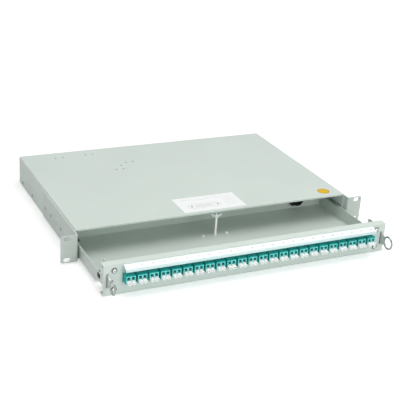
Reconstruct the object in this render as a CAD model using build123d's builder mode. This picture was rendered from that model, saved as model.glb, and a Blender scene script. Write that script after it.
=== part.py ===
from build123d import *
import os
from math import hypot

# Slide-out fibre optic patch panel for a 19-inch rack, shown with its drawer part way out.
# X runs right, Y runs back and Z runs up, in millimetres. The origin is the centre of the
# four rack slots, on the front face of the ears.

os.makedirs("parts", exist_ok=True)
SIDES = {"left": -1, "right": 1}
overrun = 2.0
running_gap = 0.3

# Rack ears
rack_span = 482.6
rack_slot_inset = 8.75
rack_slot_pitch_z = 31.75
rack_slot_length = 10.0
rack_slot_width = 6.5
ear_reach = 24.3
ear_height = 40.0
ear_sheet = 2.0
ear_bend = 0.5
ear_corner = 2.0
ear_leg_length = 161.0
ear_leg_corner = 5.0
ear_slit_width = 2.2
ear_slit_height = 6.5
ear_slit_pitch = 11.0
ear_slit_y = 100.0
ear_setback = 12.0

# Housing shell and floor
housing_height = 44.0
housing_depth = 287.0
cover_sheet = 1.2
cover_bend = 2.0
cover_hem_depth = 8.0
base_sheet = 1.2
base_flange_height = 14.0
window_width = 62.0
window_height = 22.0
window_radius = 6.0
window_inset = 22.0
window_sill = 9.0
grommet_lip = 2.2
grommet_lip_thickness = 1.4
grommet_wall = 1.4
tie_hole_radius = 1.6
tie_hole_pitch = 12.0
tie_pair_shares = ((-0.726, 0.925), (-0.491, 0.927), (-0.369, 0.672), (-0.253, 0.758))
spare_hole_share = (-0.336, 0.725)

# Small screws of the housing
side_screw_radius = 1.5
side_screw_head_radius = 2.9
side_screw_head_height = 1.0
side_screw_fit = 0.1
side_screw_bite = 0.8
leg_screw_shares = (0.45, 0.75, 0.92)
leg_screw_z = -4.0
rear_screw_shares = (0.74, 0.93)

# Runners
runner_sheet = 1.0
runner_lip = 7.8
runner_inset = 2.0
runner_overhang = 5.0
floor_gap = 0.4
wall_gap = 1.4

# Drawer
drawer_out = 100.0
tray_sheet = 1.2
tray_bend = 0.6
tray_depth = 167.5
tray_wall_height = 20.0
tray_back_height = 36.0
tray_relief_length = 40.5
tray_relief_slope = 15.0
tray_relief_height = 7.4
tray_relief_width = 8.0
post_sheet = 1.2
post_inset = 11.0
post_flange = 9.0
post_depth = 27.0
post_height = 37.2
post_bevel = 1.5

# Front panel
panel_sheet = 1.5
panel_side_gap = 0.5
panel_foot_gap = 0.3
panel_return = 10.0
side_return_foot = 16.0
side_return_height = 24.0
side_return_corner = 5.0
side_return_hole_radius = 1.5
side_return_hole_pitch = 6.0
side_return_hole_y = 6.0
side_return_hole_z = 26.0

# Panel screws
panel_screw_inset = 15.2
panel_screw_z = 13.5
panel_screw_radius = 2.0
panel_screw_head_radius = 3.9
panel_screw_head_height = 2.4
panel_screw_crown = 1.4
panel_screw_tail = 1.0
screw_hole_fit = 0.2

# Adapters
port_count = 24
port_row_margin = 24.2
port_row_shift = 2.0
port_spacing_share = 0.388
adapter_gap = 2.8
adapter_height = 12.4
adapter_centre_z = 2.0
adapter_front = 10.8
adapter_rear = 17.0
adapter_flange_gap = 1.1
adapter_flange_height = 13.4
adapter_flange_thickness = 1.2
adapter_fit = 0.15
socket_wall = 1.45
socket_z = -1.2
latch_shoulder = 0.8
latch_slot_height = 5.0
socket_depth = 8.0

# Dust caps
cap_bank_count = 6
cap_gap = 0.65
cap_length = 4.9
cap_stem_length = 6.0
rear_cap_gap = 1.05
rear_cap_length = 5.0

# Port label strip
strip_margin = 2.0
strip_shift = 2.1
carrier_sheet = 1.0
carrier_reach = 10.6
carrier_drop = 3.4
carrier_lip_height = 3.8
carrier_top = 20.5
carrier_flange_height = 7.0
label_sheet = 0.25
label_shares = (0.06, 0.94)

# Cable rings
ring_radius = 8.9
ring_wire_radius = 1.35
ring_reach = 19.0
ring_z = -0.5
ring_tab_inset = 7.0
ring_tab_sheet = 1.5
ring_tab_root_half = 9.4
ring_tab_tip_half = 6.0
ring_tab_lap = 1.4
ring_slot_width = 3.4
ring_slot_margin = 0.8
ring_foot_clearance = 0.5
ring_foot_sheet = 1.2

# Splice holder stud, wing nut and pegs
stud_radius = 2.0
stud_height = 34.5
stud_y = 16.5
stud_base_radius = 4.2
stud_base_height = 1.0
wing_nut_z = 28.5
wing_nut_hub_radius = 3.9
wing_nut_hub_height = 4.2
wing_nut_bevel = 0.6
wing_span = 16.4
wing_rise = 6.4
wing_thickness = 1.6
wing_tip_radius = 2.2
wing_fit = 0.1
peg_radius = 2.6
peg_height = 2.2
peg_spacing = 38.0
peg_crown = 0.8

# Cable gland
gland_inset = 54.0
gland_z = 0.0
gland_thread_radius = 10.0
gland_thread_inside = 12.0
gland_bore_radius = 6.0
gland_hex = 24.0
gland_hex_length = 6.0
gland_neck_radius = 9.4
gland_neck_length = 9.0
gland_fit = 0.2
locknut_hex = 23.5
locknut_thickness = 6.0
seal_radius = 9.0
seal_bore_radius = 5.0
seal_length = 5.0
dome_nut_length = 17.5
dome_nut_grip = 9.0
dome_nut_crown = 4.0
dome_nut_end = 2.2

# Side catches
catch_y = -75.0
catch_z = -4.4
catch_length = 9.0
catch_height = 6.0
catch_head_sheet = 2.2
catch_head_reach = 3.0
catch_head_rise = 0.6
catch_bevel = 0.7

# Stickers on the cover
top_label_width = 100.0
top_label_depth = 50.0
top_label_inset = 6.5
sticker_radius = 9.5
sticker_side_inset = 26.0
sticker_inset = 19.0
sticker_sheet = 0.2

# Sizes and places worked out from the ones above
rack_slot_pitch_x = rack_span - 2 * rack_slot_inset
housing_width = rack_span - 2 * ear_reach
half_width = housing_width / 2
housing_bottom = -housing_height / 2
housing_top = housing_height / 2
housing_rear = ear_setback + housing_depth
base_width = housing_width - 2 * cover_sheet
floor_top = housing_bottom + base_sheet
leg_outer = half_width + ear_sheet
leg_screws = [(share * ear_leg_length, leg_screw_z) for share in leg_screw_shares]
rear_screws = [
    (ear_setback + share * housing_depth, housing_bottom + base_flange_height / 2)
    for share in rear_screw_shares
]
side_holes = side_screw_radius + side_screw_fit
window_centre_x = half_width - window_inset - window_width / 2
window_centre_z = housing_bottom + window_sill + window_height / 2

web_outer = half_width - cover_sheet
web_inner = web_outer - runner_sheet
runner_front = ear_setback + runner_inset
runner_length = ear_leg_length + runner_overhang
runner_rear = runner_front + runner_length
tray_bottom = floor_top + runner_sheet + floor_gap
tray_floor = tray_bottom + tray_sheet
tray_wall_top = tray_bottom + tray_wall_height
runner_top = tray_wall_top + floor_gap + runner_sheet
tray_half = web_inner - wall_gap
lip_inner = web_outer - runner_lip

panel_front = -drawer_out
panel_back = panel_front + panel_sheet
panel_half = half_width - panel_side_gap
panel_bottom = housing_bottom + panel_foot_gap
panel_screw_x = half_width - panel_screw_inset
tray_rear = panel_back + tray_depth
post_x = half_width - post_inset
post_outer = post_x + post_sheet

port_pitch = (housing_width - 2 * port_row_margin) / port_count
port_spacing = port_spacing_share * port_pitch
socket_size = port_spacing - socket_wall
latch_slot_width = socket_size - 2 * latch_shoulder
adapter_width = port_pitch - adapter_gap
adapter_flange_width = port_pitch - adapter_flange_gap
cap_radius = (port_spacing - cap_gap) / 2
cap_stem = socket_size - 2 * running_gap
rear_cap_size = port_spacing - rear_cap_gap
first_port_x = port_row_shift - port_pitch * (port_count - 1) / 2
adapter_face = panel_front - adapter_front
adapter_back = panel_back + adapter_rear
latch_slot_z = socket_z + socket_size / 2 + latch_slot_height / 2
ports_per_bank = port_count // cap_bank_count

strip_length = port_count * port_pitch - strip_margin
carrier_length = hypot(carrier_reach, carrier_drop)
carrier_down = (-carrier_reach / carrier_length, -carrier_drop / carrier_length)
carrier_out = (-carrier_drop / carrier_length, carrier_reach / carrier_length)
carrier_top_y = panel_front + carrier_out[0] * carrier_sheet

ring_tab_x = half_width - ring_tab_inset
ring_y = panel_front - ring_reach
ring_foot_inner = post_outer + ring_foot_clearance
ring_foot_outer = tray_half - tray_sheet - running_gap
wing_nut_bottom = tray_floor + wing_nut_z
gland_x = half_width - gland_inset
hex_rear = tray_rear + gland_hex_length
neck_rear = hex_rear + gland_neck_length
gland_inner_end = tray_rear - tray_sheet - gland_thread_inside
dome_nut_front = hex_rear + running_gap


def front_plane(y):
    """Plane facing forward at depth y, with X to the right and Z up."""
    return Plane.XZ.offset(-y)


def side_plane(x):
    """Plane facing right at x, with Y as its first direction and Z as its second."""
    return Plane.YZ.offset(x)


def level(z):
    """Horizontal plane at height z."""
    return Plane.XY.offset(z)


def along_strip(share, lift):
    """A point (Y, Z) on the label carrier's slope, lifted off its outer face."""
    run = share * carrier_length
    y = carrier_top_y + carrier_down[0] * run + carrier_out[0] * lift
    z = carrier_top + carrier_down[1] * run + carrier_out[1] * lift
    return (y, z)


def port_centres(index):
    """X places of the two ports of one adapter."""
    centre = first_port_x + index * port_pitch
    return (centre - port_spacing / 2, centre + port_spacing / 2)


# Cover: a folded shell with two sides, a hemmed front edge and cable-tie holes
tie_holes = []
for share_x, share_y in tie_pair_shares:
    pair_x = share_x * half_width
    pair_y = ear_setback + share_y * housing_depth
    tie_holes.append((pair_x - tie_hole_pitch / 2, pair_y))
    tie_holes.append((pair_x + tie_hole_pitch / 2, pair_y))
tie_holes.append((spare_hole_share[0] * half_width, ear_setback + spare_hole_share[1] * housing_depth))

with BuildPart() as housing_cover:
    with BuildSketch(front_plane(ear_setback)) as outer_section:
        Rectangle(housing_width, housing_height)
        fillet(outer_section.vertices().group_by(Axis.Y)[-1], cover_bend)
    extrude(amount=-housing_depth)
    with BuildSketch(front_plane(ear_setback)) as inner_section:
        with Locations((0, -cover_sheet / 2)):
            Rectangle(base_width, housing_height - cover_sheet)
        fillet(inner_section.vertices().group_by(Axis.Y)[-1], cover_bend - cover_sheet)
    extrude(amount=-housing_depth, mode=Mode.SUBTRACT)
    with BuildSketch(level(housing_top - 2 * cover_sheet)):
        with Locations((0, ear_setback + cover_hem_depth / 2)):
            Rectangle(base_width - 2 * cover_bend, cover_hem_depth)
    extrude(amount=cover_sheet)
    with BuildSketch(level(housing_top)):
        with Locations(*tie_holes):
            Circle(tie_hole_radius)
    extrude(amount=-cover_sheet, mode=Mode.SUBTRACT)
    with BuildSketch(side_plane(-half_width)):
        with Locations(*leg_screws, *rear_screws):
            Circle(side_holes)
    extrude(amount=housing_width, mode=Mode.SUBTRACT)
housing_cover.part.label = "housing_cover"
export_step(housing_cover.part, "parts/housing_cover.step")

# Base: floor, rear wall with two cable windows, and low flanges inside the cover
with BuildPart() as housing_base:
    with BuildSketch(level(housing_bottom)):
        with Locations((0, ear_setback + housing_depth / 2)):
            Rectangle(base_width, housing_depth)
    extrude(amount=base_sheet)
    with BuildSketch(front_plane(housing_rear)) as rear_wall:
        with Locations((0, -cover_sheet / 2)):
            Rectangle(base_width, housing_height - cover_sheet)
        fillet(rear_wall.vertices().group_by(Axis.Y)[-1], cover_bend)
        with Locations((-window_centre_x, window_centre_z), (window_centre_x, window_centre_z)):
            RectangleRounded(window_width, window_height, window_radius, mode=Mode.SUBTRACT)
    extrude(amount=base_sheet)
    with BuildSketch(level(floor_top)):
        for sign in SIDES.values():
            with Locations((sign * (web_outer - base_sheet / 2), (runner_rear + housing_rear) / 2)):
                Rectangle(base_sheet, housing_rear - runner_rear)
    extrude(amount=base_flange_height - base_sheet)
    with BuildSketch(side_plane(-half_width)):
        with Locations(*rear_screws):
            Circle(side_holes)
    extrude(amount=housing_width, mode=Mode.SUBTRACT)
housing_base.part.label = "housing_base"
export_step(housing_base.part, "parts/housing_base.step")

# Rubber edge guards of the two rear windows
with BuildPart() as rear_grommets:
    for sign in SIDES.values():
        centre = (sign * window_centre_x, window_centre_z)
        lip_width = window_width + 2 * grommet_lip
        lip_height = window_height + 2 * grommet_lip
        for lip_face in (housing_rear + grommet_lip_thickness, housing_rear - base_sheet):
            with BuildSketch(front_plane(lip_face)):
                with Locations(centre):
                    RectangleRounded(lip_width, lip_height, window_radius + grommet_lip)
            extrude(amount=grommet_lip_thickness)
        with BuildSketch(front_plane(housing_rear)):
            with Locations(centre):
                RectangleRounded(window_width, window_height, window_radius)
        extrude(amount=base_sheet)
        with BuildSketch(front_plane(housing_rear + grommet_lip_thickness)):
            with Locations(centre):
                RectangleRounded(
                    window_width - 2 * grommet_wall,
                    window_height - 2 * grommet_wall,
                    window_radius - grommet_wall,
                )
        extrude(amount=base_sheet + 2 * grommet_lip_thickness, mode=Mode.SUBTRACT)
rear_grommets.part.label = "rear_grommets"
export_step(rear_grommets.part, "parts/rear_grommets.step")

# Rack ears: bent brackets on the outside of the cover, each with two slots
for side, sign in SIDES.items():
    with BuildPart() as ear_bracket:
        with BuildSketch(level(-ear_height / 2)) as ear_section:
            Polygon(
                (sign * half_width, ear_leg_length),
                (sign * half_width, 0),
                (sign * rack_span / 2, 0),
                (sign * rack_span / 2, ear_sheet),
                (sign * leg_outer, ear_sheet),
                (sign * leg_outer, ear_leg_length),
                align=None,
            )
            bend = ear_section.vertices().sort_by_distance((sign * half_width, 0))[0]
            fillet(bend, ear_sheet + ear_bend)
            crease = ear_section.vertices().sort_by_distance((sign * leg_outer, ear_sheet))[0]
            fillet(crease, ear_bend)
        extrude(amount=ear_height)
        fillet(ear_bracket.edges().filter_by(Axis.X).group_by(Axis.Y)[-1], ear_leg_corner)
        fillet(ear_bracket.edges().filter_by(Axis.Y).sort_by(Axis.X)[::sign][-2:], ear_corner)
        with BuildSketch(front_plane(0)):
            with Locations((sign * rack_slot_pitch_x / 2, 0)):
                with GridLocations(0, rack_slot_pitch_z, 1, 2):
                    SlotOverall(rack_slot_length, rack_slot_width)
        extrude(amount=-ear_sheet, mode=Mode.SUBTRACT)
        with BuildSketch(side_plane(sign * half_width)):
            with Locations(*leg_screws):
                Circle(side_holes)
            with Locations((ear_slit_y, leg_screw_z)):
                with GridLocations(ear_slit_pitch, 0, 2, 1):
                    SlotOverall(ear_slit_height, ear_slit_width, rotation=90)
        extrude(amount=sign * ear_sheet, mode=Mode.SUBTRACT)
    ear_bracket.part.label = f"ear_bracket_{side}"
    export_step(ear_bracket.part, f"parts/ear_bracket_{side}.step")

# Screws that hold the ears and runners to the cover
with BuildPart() as ear_screws:
    for sign in SIDES.values():
        with BuildSketch(side_plane(sign * leg_outer)):
            with Locations(*leg_screws):
                Circle(side_screw_head_radius)
        extrude(amount=sign * side_screw_head_height)
        with BuildSketch(side_plane(sign * leg_outer)):
            with Locations(*leg_screws):
                Circle(side_screw_radius)
        extrude(amount=-sign * (ear_sheet + cover_sheet + side_screw_bite))
ear_screws.part.label = "ear_screws"
export_step(ear_screws.part, "parts/ear_screws.step")

# Screws that hold the cover to the flanges of the base
with BuildPart() as housing_screws:
    for sign in SIDES.values():
        with BuildSketch(side_plane(sign * half_width)):
            with Locations(*rear_screws):
                Circle(side_screw_head_radius)
        extrude(amount=sign * side_screw_head_height)
        with BuildSketch(side_plane(sign * half_width)):
            with Locations(*rear_screws):
                Circle(side_screw_radius)
        extrude(amount=-sign * (cover_sheet + base_sheet + side_screw_bite))
housing_screws.part.label = "housing_screws"
export_step(housing_screws.part, "parts/housing_screws.step")

# Runners: C-shaped rails that carry the drawer's floor edge and hold its wall down
for side, sign in SIDES.items():
    with BuildPart() as runner:
        with BuildSketch(front_plane(runner_front)):
            with Locations((sign * (lip_inner + web_outer) / 2, (floor_top + runner_top) / 2)):
                Rectangle(runner_lip, runner_top - floor_top)
            with Locations((sign * (lip_inner + web_inner) / 2, (floor_top + runner_top) / 2)):
                Rectangle(
                    runner_lip - runner_sheet,
                    runner_top - floor_top - 2 * runner_sheet,
                    mode=Mode.SUBTRACT,
                )
        extrude(amount=-runner_length)
        with BuildSketch(side_plane(sign * web_outer)):
            with Locations(*leg_screws):
                Circle(side_holes)
        extrude(amount=-sign * runner_sheet, mode=Mode.SUBTRACT)
    runner.part.label = f"runner_{side}"
    export_step(runner.part, f"parts/runner_{side}.step")

# Blank label and blank coloured sticker on the cover
with BuildPart() as top_label:
    with BuildSketch(level(housing_top)):
        with Locations((0, ear_setback + top_label_inset + top_label_depth / 2)):
            Rectangle(top_label_width, top_label_depth)
    extrude(amount=sticker_sheet)
top_label.part.label = "top_label"
export_step(top_label.part, "parts/top_label.step")

with BuildPart() as marker_sticker:
    with BuildSketch(level(housing_top)):
        with Locations((half_width - sticker_side_inset, ear_setback + sticker_inset)):
            Circle(sticker_radius)
    extrude(amount=sticker_sheet)
marker_sticker.part.label = "marker_sticker"
export_step(marker_sticker.part, "parts/marker_sticker.step")

# Drawer tray: low side walls, full-height rear wall and relieved front corners
with BuildPart() as drawer_tray:
    with BuildSketch(front_plane(panel_back)) as tray_outside:
        with Locations((0, (tray_bottom + tray_wall_top) / 2)):
            Rectangle(2 * tray_half, tray_wall_height)
        fillet(tray_outside.vertices().group_by(Axis.Y)[0], tray_sheet + tray_bend)
    extrude(amount=-tray_depth)
    with BuildSketch(front_plane(panel_back)) as tray_inside:
        with Locations((0, (tray_floor + tray_wall_top) / 2)):
            Rectangle(2 * (tray_half - tray_sheet), tray_wall_top - tray_floor)
        fillet(tray_inside.vertices().group_by(Axis.Y)[0], tray_bend)
    extrude(amount=-tray_depth, mode=Mode.SUBTRACT)
    with BuildSketch(front_plane(tray_rear)) as tray_back:
        with Locations((0, (tray_floor + tray_wall_top) / 2)):
            Rectangle(2 * tray_half - 2 * tray_sheet, tray_wall_top - tray_floor)
        with Locations((0, tray_floor + (tray_back_height - tray_sheet) / 2)):
            Rectangle(2 * (lip_inner - floor_gap), tray_back_height - tray_sheet)
        with Locations((gland_x, gland_z)):
            Circle(gland_thread_radius + gland_fit, mode=Mode.SUBTRACT)
    extrude(amount=tray_sheet)
    for sign in SIDES.values():
        with BuildSketch(side_plane(sign * (tray_half - tray_relief_width))):
            Polygon(
                (panel_back, tray_bottom),
                (panel_back + tray_relief_length, tray_bottom),
                (panel_back + tray_relief_length - tray_relief_slope, tray_bottom + tray_relief_height),
                (panel_back, tray_bottom + tray_relief_height),
                align=None,
            )
        extrude(amount=sign * tray_relief_width, mode=Mode.SUBTRACT)
        with BuildSketch(side_plane(sign * (tray_half - tray_sheet))):
            with Locations((catch_y, catch_z)):
                Rectangle(catch_length + 2 * running_gap, catch_height + 2 * running_gap)
        extrude(amount=sign * tray_sheet, mode=Mode.SUBTRACT)
drawer_tray.part.label = "drawer_tray"
export_step(drawer_tray.part, "parts/drawer_tray.step")

# Corner posts: three-sided brackets on the floor that carry the front panel
for side, sign in SIDES.items():
    with BuildPart() as corner_post:
        with BuildSketch(side_plane(sign * post_x)) as post_web:
            with Locations((panel_back + post_depth / 2, tray_floor + post_height / 2)):
                Rectangle(post_depth, post_height)
            rear_top = post_web.vertices().sort_by(Axis.X)[-2:].sort_by(Axis.Y)[-1]
            chamfer(rear_top, post_bevel)
        extrude(amount=sign * post_sheet)
        with BuildSketch(front_plane(panel_back)):
            with Locations((sign * (post_outer - post_flange / 2), tray_floor + post_height / 2)):
                Rectangle(post_flange, post_height)
            with Locations((sign * panel_screw_x, 0)):
                with GridLocations(0, 2 * panel_screw_z, 1, 2):
                    Circle(panel_screw_radius + screw_hole_fit, mode=Mode.SUBTRACT)
        extrude(amount=-post_sheet)
        with BuildSketch(level(tray_floor)):
            with Locations((sign * (post_outer - post_flange / 2), panel_back + post_depth / 2)):
                Rectangle(post_flange, post_depth)
        extrude(amount=post_sheet)
    corner_post.part.label = f"corner_post_{side}"
    export_step(corner_post.part, f"parts/corner_post_{side}.step")

# Front panel: adapter cut-outs, ring slots, screw holes and folded returns
with BuildPart() as front_panel:
    with BuildSketch(front_plane(panel_front)):
        with Locations((0, (panel_bottom + housing_top) / 2)):
            Rectangle(2 * panel_half, housing_top - panel_bottom)
        for index in range(port_count):
            with Locations((first_port_x + index * port_pitch, adapter_centre_z)):
                Rectangle(
                    adapter_width + 2 * adapter_fit,
                    adapter_height + 2 * adapter_fit,
                    mode=Mode.SUBTRACT,
                )
        with GridLocations(2 * panel_screw_x, 2 * panel_screw_z, 2, 2):
            Circle(panel_screw_radius + screw_hole_fit, mode=Mode.SUBTRACT)
        for sign in SIDES.values():
            with Locations((sign * (ring_tab_x + ring_tab_sheet / 2), ring_z)):
                Rectangle(ring_slot_width, 2 * (ring_tab_root_half + ring_slot_margin), mode=Mode.SUBTRACT)
    extrude(amount=-panel_sheet)
    for return_bottom in (panel_bottom, housing_top - panel_sheet):
        with BuildSketch(level(return_bottom)):
            with Locations((0, panel_back + panel_return / 2)):
                Rectangle(2 * panel_half, panel_return)
        extrude(amount=panel_sheet)
    for sign in SIDES.values():
        with BuildSketch(side_plane(sign * panel_half)) as side_return:
            side_return_centre = (
                panel_back + panel_return / 2,
                housing_bottom + side_return_foot + side_return_height / 2,
            )
            with Locations(side_return_centre):
                Rectangle(panel_return, side_return_height)
            rear_foot = side_return.vertices().sort_by(Axis.X)[-2:].sort_by(Axis.Y)[0]
            fillet(rear_foot, side_return_corner)
            hole_centre = (panel_front + side_return_hole_y, housing_bottom + side_return_hole_z)
            with Locations(hole_centre):
                with GridLocations(0, side_return_hole_pitch, 1, 2):
                    Circle(side_return_hole_radius, mode=Mode.SUBTRACT)
        extrude(amount=-sign * panel_sheet)
front_panel.part.label = "front_panel"
export_step(front_panel.part, "parts/front_panel.step")

# Pan-head screws through the panel into the corner posts
with BuildPart() as panel_screws:
    with BuildSketch(front_plane(panel_front)):
        with GridLocations(2 * panel_screw_x, 2 * panel_screw_z, 2, 2):
            Circle(panel_screw_head_radius)
    extrude(amount=panel_screw_head_height)
    chamfer(panel_screws.edges().filter_by(GeomType.CIRCLE).group_by(Axis.Y)[0], panel_screw_crown)
    with BuildSketch(front_plane(panel_front)):
        with GridLocations(2 * panel_screw_x, 2 * panel_screw_z, 2, 2):
            Circle(panel_screw_radius)
    extrude(amount=-(panel_sheet + post_sheet + panel_screw_tail))
panel_screws.part.label = "panel_screws"
export_step(panel_screws.part, "parts/panel_screws.step")

# Label carrier: a sloping shelf with a fixing flange and a front lip, and the paper on it
strip_left = strip_shift - strip_length / 2
slope_start = along_strip(0, 0)
slope_end = along_strip(1, 0)
with BuildPart() as label_carrier:
    with BuildSketch(side_plane(strip_left)):
        Polygon(
            slope_start,
            slope_end,
            along_strip(1, -carrier_sheet),
            along_strip(0, -carrier_sheet),
            align=None,
        )
        flange_top = along_strip(0, -carrier_sheet)[1]
        with Locations((panel_front - carrier_sheet / 2, flange_top - carrier_flange_height / 2)):
            Rectangle(carrier_sheet, carrier_flange_height)
        with Locations((slope_end[0] + carrier_sheet / 2, slope_end[1] - carrier_lip_height / 2)):
            Rectangle(carrier_sheet, carrier_lip_height)
    extrude(amount=strip_length)
label_carrier.part.label = "label_carrier"
export_step(label_carrier.part, "parts/label_carrier.step")

with BuildPart() as label_insert:
    with BuildSketch(side_plane(strip_left)):
        Polygon(
            along_strip(label_shares[0], 0),
            along_strip(label_shares[1], 0),
            along_strip(label_shares[1], label_sheet),
            along_strip(label_shares[0], label_sheet),
            align=None,
        )
    extrude(amount=strip_length)
label_insert.part.label = "label_insert"
export_step(label_insert.part, "parts/label_insert.step")

# Cable rings: wire loops on tabs that pass through the panel from feet behind it
for side, sign in SIDES.items():
    ring_x = sign * (ring_tab_x + ring_tab_sheet / 2)
    ring_back = ring_y + ring_radius
    with BuildPart() as cable_ring:
        with BuildSketch(side_plane(sign * ring_tab_x)):
            Polygon(
                (panel_back, ring_z - ring_tab_root_half),
                (panel_front, ring_z - ring_tab_root_half),
                (ring_back - ring_tab_lap, ring_z - ring_tab_tip_half),
                (ring_back - ring_tab_lap, ring_z + ring_tab_tip_half),
                (panel_front, ring_z + ring_tab_root_half),
                (panel_back, ring_z + ring_tab_root_half),
                align=None,
            )
            with Locations((ring_y, ring_z)):
                Circle(ring_radius, mode=Mode.SUBTRACT)
        extrude(amount=sign * ring_tab_sheet)
        with Locations(Location((ring_x, ring_y, ring_z), (0, 90, 0))):
            Torus(ring_radius, ring_wire_radius)
        with BuildSketch(front_plane(panel_back)):
            with Locations((sign * (ring_foot_inner + ring_foot_outer) / 2, ring_z)):
                Rectangle(ring_foot_outer - ring_foot_inner, 2 * ring_tab_root_half)
        extrude(amount=-ring_foot_sheet)
    cable_ring.part.label = f"cable_ring_{side}"
    export_step(cable_ring.part, f"parts/cable_ring_{side}.step")

# Fibre adapters: duplex bodies snapped into the panel, open at both ends
for index in range(port_count):
    adapter_x = first_port_x + index * port_pitch
    with BuildPart() as adapter:
        with BuildSketch(front_plane(adapter_face)):
            with Locations((adapter_x, adapter_centre_z)):
                Rectangle(adapter_width, adapter_height)
        extrude(amount=adapter_face - adapter_back)
        with BuildSketch(front_plane(panel_front)):
            with Locations((adapter_x, adapter_centre_z)):
                Rectangle(adapter_flange_width, adapter_flange_height)
        extrude(amount=adapter_flange_thickness)
        socket_places = [(port_x, socket_z) for port_x in port_centres(index)]
        latch_places = [(port_x, latch_slot_z) for port_x in port_centres(index)]
        with BuildSketch(front_plane(adapter_back)):
            with Locations(*socket_places):
                Rectangle(socket_size, socket_size)
        extrude(amount=socket_depth, mode=Mode.SUBTRACT)
        with BuildSketch(front_plane(adapter_face)):
            with Locations(*socket_places):
                Rectangle(socket_size, socket_size)
            with Locations(*latch_places):
                Rectangle(latch_slot_width, latch_slot_height)
        extrude(amount=-socket_depth, mode=Mode.SUBTRACT)
    adapter.part.label = f"adapter_{index + 1:02d}"
    export_step(adapter.part, f"parts/adapter_{index + 1:02d}.step")

# Front dust caps, one bank for each group of adapters
cap_back = adapter_face - running_gap
for bank in range(cap_bank_count):
    cap_places = []
    for index in range(bank * ports_per_bank, (bank + 1) * ports_per_bank):
        cap_places.extend((port_x, socket_z) for port_x in port_centres(index))
    with BuildPart() as dust_caps:
        with BuildSketch(front_plane(cap_back)):
            with Locations(*cap_places):
                Circle(cap_radius)
        extrude(amount=cap_length)
        with BuildSketch(front_plane(cap_back)):
            with Locations(*cap_places):
                Rectangle(cap_stem, cap_stem)
        extrude(amount=-(cap_stem_length + running_gap))
    dust_caps.part.label = f"dust_caps_{bank + 1}"
    export_step(dust_caps.part, f"parts/dust_caps_{bank + 1}.step")

# Dust caps on the rear ends of the adapters, inside the drawer
rear_cap_front = adapter_back + running_gap
with BuildPart() as rear_caps:
    rear_places = []
    for index in range(port_count):
        rear_places.extend((port_x, socket_z) for port_x in port_centres(index))
    with BuildSketch(front_plane(rear_cap_front)):
        with Locations(*rear_places):
            Rectangle(rear_cap_size, rear_cap_size)
    extrude(amount=-rear_cap_length)
    with BuildSketch(front_plane(rear_cap_front)):
        with Locations(*rear_places):
            Rectangle(cap_stem, cap_stem)
    extrude(amount=cap_stem_length + running_gap)
rear_caps.part.label = "rear_caps"
export_step(rear_caps.part, "parts/rear_caps.step")

# Stud that clamps a stack of splice holders, with its wing nut and locating pegs
with BuildPart() as splice_stud:
    with BuildSketch(level(tray_floor)):
        with Locations((0, stud_y)):
            Circle(stud_base_radius)
    extrude(amount=stud_base_height)
    with BuildSketch(level(tray_floor)):
        with Locations((0, stud_y)):
            Circle(stud_radius)
    extrude(amount=stud_height)
splice_stud.part.label = "splice_stud"
export_step(splice_stud.part, "parts/splice_stud.step")

with BuildPart() as wing_nut:
    with BuildSketch(level(wing_nut_bottom)):
        with Locations((0, stud_y)):
            Circle(wing_nut_hub_radius)
    extrude(amount=wing_nut_hub_height)
    chamfer(wing_nut.edges().filter_by(GeomType.CIRCLE), wing_nut_bevel)
    with BuildSketch(front_plane(stud_y - wing_thickness / 2)) as wings:
        Polygon(
            (-wing_span / 2, wing_nut_bottom + wing_rise),
            (-wing_span / 2, wing_nut_bottom + wing_nut_hub_height / 2),
            (-wing_nut_hub_radius, wing_nut_bottom + wing_nut_bevel),
            (wing_nut_hub_radius, wing_nut_bottom + wing_nut_bevel),
            (wing_span / 2, wing_nut_bottom + wing_nut_hub_height / 2),
            (wing_span / 2, wing_nut_bottom + wing_rise),
            (wing_nut_hub_radius, wing_nut_bottom + wing_nut_hub_height),
            (-wing_nut_hub_radius, wing_nut_bottom + wing_nut_hub_height),
            align=None,
        )
        wing_tips = wings.vertices().group_by(Axis.X)[0].sort_by(Axis.Y)[:1]
        wing_tips += wings.vertices().group_by(Axis.X)[-1].sort_by(Axis.Y)[:1]
        fillet(wing_tips, wing_tip_radius)
    extrude(amount=-wing_thickness)
    with BuildSketch(level(wing_nut_bottom)):
        with Locations((0, stud_y)):
            Circle(stud_radius + wing_fit)
    extrude(amount=wing_rise, mode=Mode.SUBTRACT)
wing_nut.part.label = "wing_nut"
export_step(wing_nut.part, "parts/wing_nut.step")

with BuildPart() as splice_pegs:
    with BuildSketch(level(tray_floor)):
        with Locations((0, stud_y)):
            with GridLocations(peg_spacing, 0, 2, 1):
                Circle(peg_radius)
    extrude(amount=peg_height)
    chamfer(splice_pegs.edges().filter_by(GeomType.CIRCLE).group_by(Axis.Z)[-1], peg_crown)
splice_pegs.part.label = "splice_pegs"
export_step(splice_pegs.part, "parts/splice_pegs.step")

# Cable gland on the drawer's rear wall: body, locknut, seal and dome nut
gland_centre = (gland_x, gland_z)
with BuildPart() as gland_body:
    with BuildSketch(front_plane(tray_rear)):
        with Locations(gland_centre):
            Circle(gland_thread_radius)
    extrude(amount=tray_sheet + gland_thread_inside)
    with BuildSketch(front_plane(tray_rear)):
        with Locations(gland_centre):
            RegularPolygon(gland_hex / 2, 6, major_radius=False)
    extrude(amount=-gland_hex_length)
    with BuildSketch(front_plane(hex_rear)):
        with Locations(gland_centre):
            Circle(gland_neck_radius)
    extrude(amount=-gland_neck_length)
    with BuildSketch(front_plane(neck_rear)):
        with Locations(gland_centre):
            Circle(gland_bore_radius)
    extrude(amount=neck_rear - gland_inner_end, mode=Mode.SUBTRACT)
gland_body.part.label = "gland_body"
export_step(gland_body.part, "parts/gland_body.step")

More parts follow.
